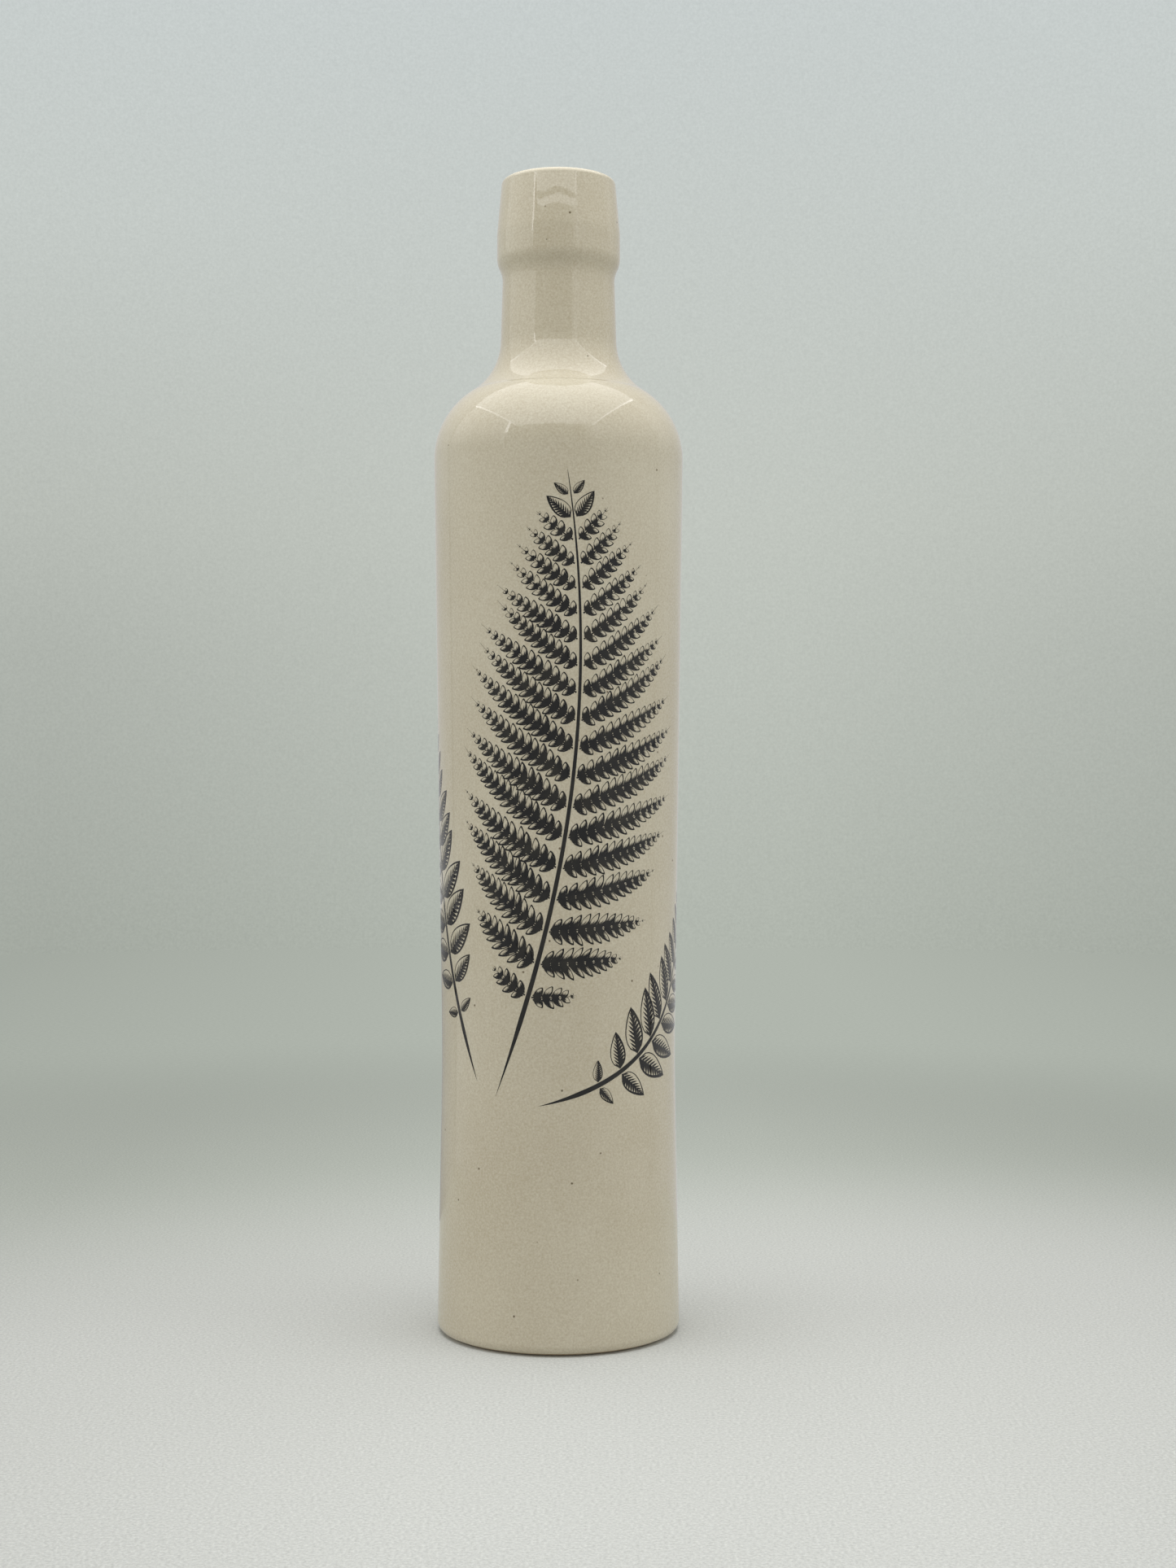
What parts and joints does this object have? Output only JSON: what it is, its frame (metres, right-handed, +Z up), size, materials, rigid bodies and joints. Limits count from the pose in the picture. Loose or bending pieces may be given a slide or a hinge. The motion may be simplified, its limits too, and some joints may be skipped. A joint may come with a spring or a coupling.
{
  "type": "bottle vase",
  "caption": "Tall slender cream-glazed earthenware bottle vase with a stepped collar at the mouth and a dark engraved-style fern print, for stems or display.",
  "frame": {"origin": "centre of the foot ring, on the surface the vase stands on", "axes": "+Z up along the axis of the body, towards the mouth; -Y is the side with the middle of the print"},
  "size_m": [0.0776, 0.0776, 0.358],
  "materials": {
    "bisque": "dry matt bisque, wiped foot ring",
    "cream_glaze": "gloss, faintly mottled cream",
    "liner_glaze": "gloss cream, poured",
    "ink": "gloss, near-black slate pigment fused into the glaze"
  },
  "bodies": {
    "root": {"clay_body": "bisque", "outer_glaze": "cream_glaze", "inner_glaze": "liner_glaze", "transfer_print": "ink"}
  },
  "joints": []
}
